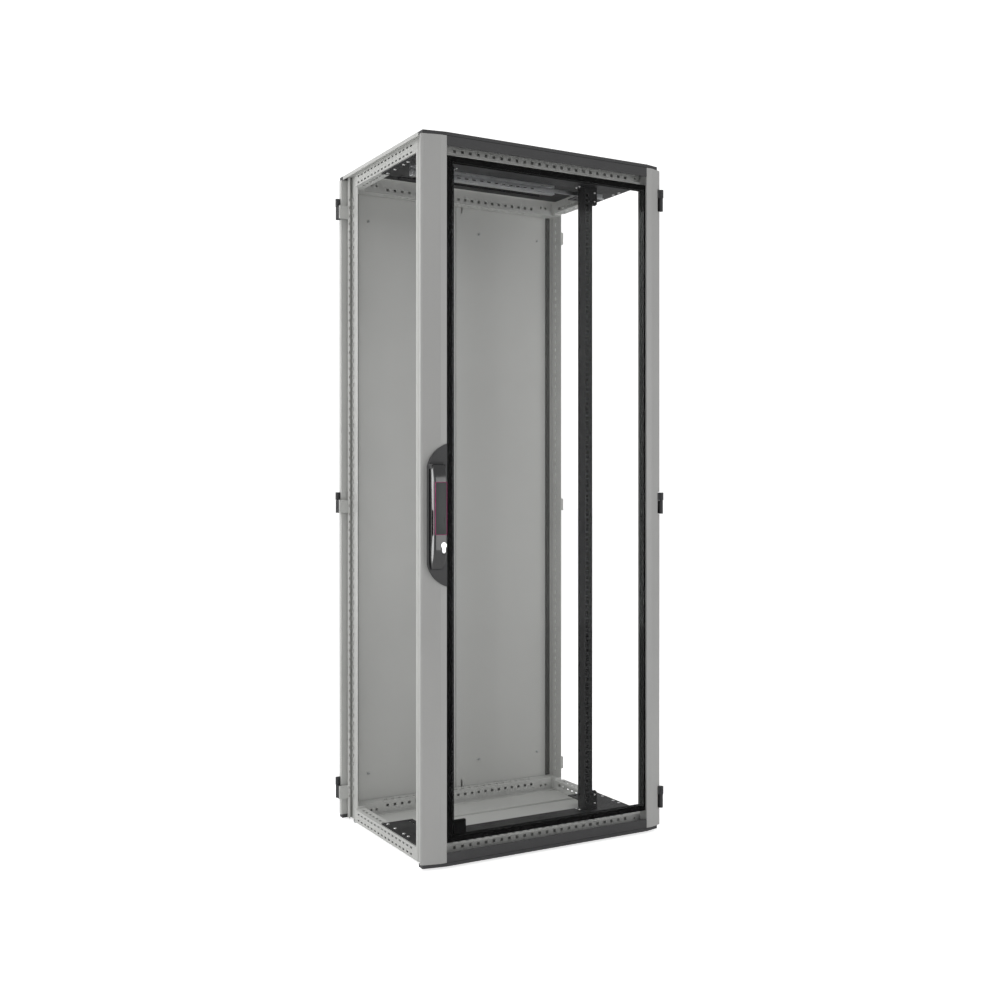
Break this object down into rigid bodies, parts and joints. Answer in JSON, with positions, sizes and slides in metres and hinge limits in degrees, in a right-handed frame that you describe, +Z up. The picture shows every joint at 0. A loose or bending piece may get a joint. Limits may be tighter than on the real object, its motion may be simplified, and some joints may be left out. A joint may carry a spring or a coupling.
{
  "type": "glazed equipment enclosure",
  "caption": "Floor-standing 19-inch equipment cabinet with open perforated frame, glazed front door with lever lock, split sheet-steel rear door and mounting angles.",
  "frame": {"origin": "centre of the four floor-fixing holes at floor level, under the middle of the cabinet", "axes": "+X to the right seen from the front, +Y from the front door to the rear door, +Z up"},
  "size_m": [0.8278, 0.6485, 2.0086],
  "materials": {
    "frame_grey": "light grey powder coat, fine texture",
    "door_grey": "light grey powder coat, satin",
    "dark_trim": "dark grey, slightly grained",
    "rack_black": "black-grey powder coat",
    "zinc": "bright zinc plate",
    "seal_black": "soft matt black",
    "glass": "clear safety glass",
    "bristle": "black bristles",
    "lever_black": "glossy black",
    "insert_grey": "dark grey plate with a thin coloured edge",
    "chrome": "bright plated",
    "hinge_grey": "dark grey coated die-casting",
    "foam_grey": "matt grey foam bead"
  },
  "bodies": {
    "frame": {"post_front_left": "frame_grey", "post_front_right": "frame_grey", "post_rear_left": "frame_grey", "post_rear_right": "frame_grey", "rail_top_front": "frame_grey", "rail_top_rear": "frame_grey", "rail_top_left": "frame_grey", "rail_top_right": "frame_grey", "rail_bottom_front": "frame_grey", "rail_bottom_rear": "frame_grey", "rail_bottom_left": "frame_grey", "rail_bottom_right": "frame_grey", "frame_corners": "frame_grey", "roof_plate": "frame_grey", "floor_plates": "frame_grey", "cover_strips": "dark_trim", "roof_insert": "rack_black", "rack_angle_left": "rack_black", "rack_angle_right": "rack_black", "strut_top": "rack_black", "strut_bottom": "rack_black", "side_plates": "rack_black", "rack_brackets": "rack_black", "feet": "zinc", "roof_bolts": "zinc", "rack_screws": "zinc", "cross_rail": "zinc", "rod_keeps": "zinc", "brush_bristles": "bristle", "hinge_front_frame": "hinge_grey", "hinge_rear_frame": "hinge_grey"},
    "front_door": {"stile_left": "door_grey", "stile_right": "door_grey", "trim_top": "dark_trim", "trim_bottom": "dark_trim", "door_glass": "glass", "door_seal": "seal_black", "hinge_front_door": "hinge_grey", "escutcheon": "dark_trim", "lock_case": "seal_black", "rod_guides": "seal_black", "buffer_block": "seal_black"},
    "lever": {"lever": "lever_black", "lever_insert": "insert_grey", "cylinder_body": "chrome"},
    "key_plug": {"key_plug": "chrome"},
    "rod_upper": {"rod_upper": "zinc"},
    "rod_lower": {"rod_lower": "zinc"},
    "rear_leaf_left": {"rear_leaf_left": "frame_grey", "rear_seal_left": "foam_grey", "rear_studs_left": "zinc", "hinge_rear_left": "hinge_grey", "rear_escutcheon": "dark_trim"},
    "rear_lever": {"rear_lever": "lever_black"},
    "rear_rod_upper": {"rear_rod_upper": "zinc"},
    "rear_rod_lower": {"rear_rod_lower": "zinc"},
    "rear_leaf_right": {"rear_leaf_right": "frame_grey", "rear_seal_right": "foam_grey", "rear_studs_right": "zinc", "hinge_rear_right": "hinge_grey"}
  },
  "joints": [
    {"name": "front_door_hinge", "type": "hinge", "parent": "frame", "child": "front_door", "pos_m": [0.401, -0.29, 1], "axis": [0, 0, 1], "range_deg": [0, 180]},
    {"name": "lever_tilt", "type": "hinge", "parent": "front_door", "child": "lever", "pos_m": [-0.3625, -0.313, 1.092], "axis": [-1, 0, 0], "range_deg": [0, 60]},
    {"name": "key_turn", "type": "hinge", "parent": "lever", "child": "key_plug", "pos_m": [-0.354, -0.325, 0.88], "axis": [0, -1, 0], "range_deg": [0, 90]},
    {"name": "rod_upper_slide", "type": "slide", "parent": "front_door", "child": "rod_upper", "axis": [0, 0, -1], "range_m": [0, 0.018]},
    {"name": "rod_lower_slide", "type": "slide", "parent": "front_door", "child": "rod_lower", "axis": [0, 0, 1], "range_m": [0, 0.018]},
    {"name": "rear_left_hinge", "type": "hinge", "parent": "frame", "child": "rear_leaf_left", "pos_m": [-0.407, 0.297, 1], "axis": [0, 0, 1], "range_deg": [0, 180]},
    {"name": "rear_right_hinge", "type": "hinge", "parent": "frame", "child": "rear_leaf_right", "pos_m": [0.407, 0.297, 1], "axis": [0, 0, -1], "range_deg": [0, 180]},
    {"name": "rear_lever_tilt", "type": "hinge", "parent": "rear_leaf_left", "child": "rear_lever", "pos_m": [-0.034, 0.309, 1.112], "axis": [1, 0, 0], "range_deg": [0, 60]},
    {"name": "rear_rod_upper_slide", "type": "slide", "parent": "rear_leaf_left", "child": "rear_rod_upper", "axis": [0, 0, -1], "range_m": [0, 0.018]},
    {"name": "rear_rod_lower_slide", "type": "slide", "parent": "rear_leaf_left", "child": "rear_rod_lower", "axis": [0, 0, 1], "range_m": [0, 0.018]}
  ],
  "couplings": [
    {"joint": "rod_upper_slide", "follows": "lever_tilt", "m_per_rad": 0.017189},
    {"joint": "rod_lower_slide", "follows": "lever_tilt", "m_per_rad": 0.017189},
    {"joint": "rear_rod_upper_slide", "follows": "rear_lever_tilt", "m_per_rad": 0.017189},
    {"joint": "rear_rod_lower_slide", "follows": "rear_lever_tilt", "m_per_rad": 0.017189}
  ]
}
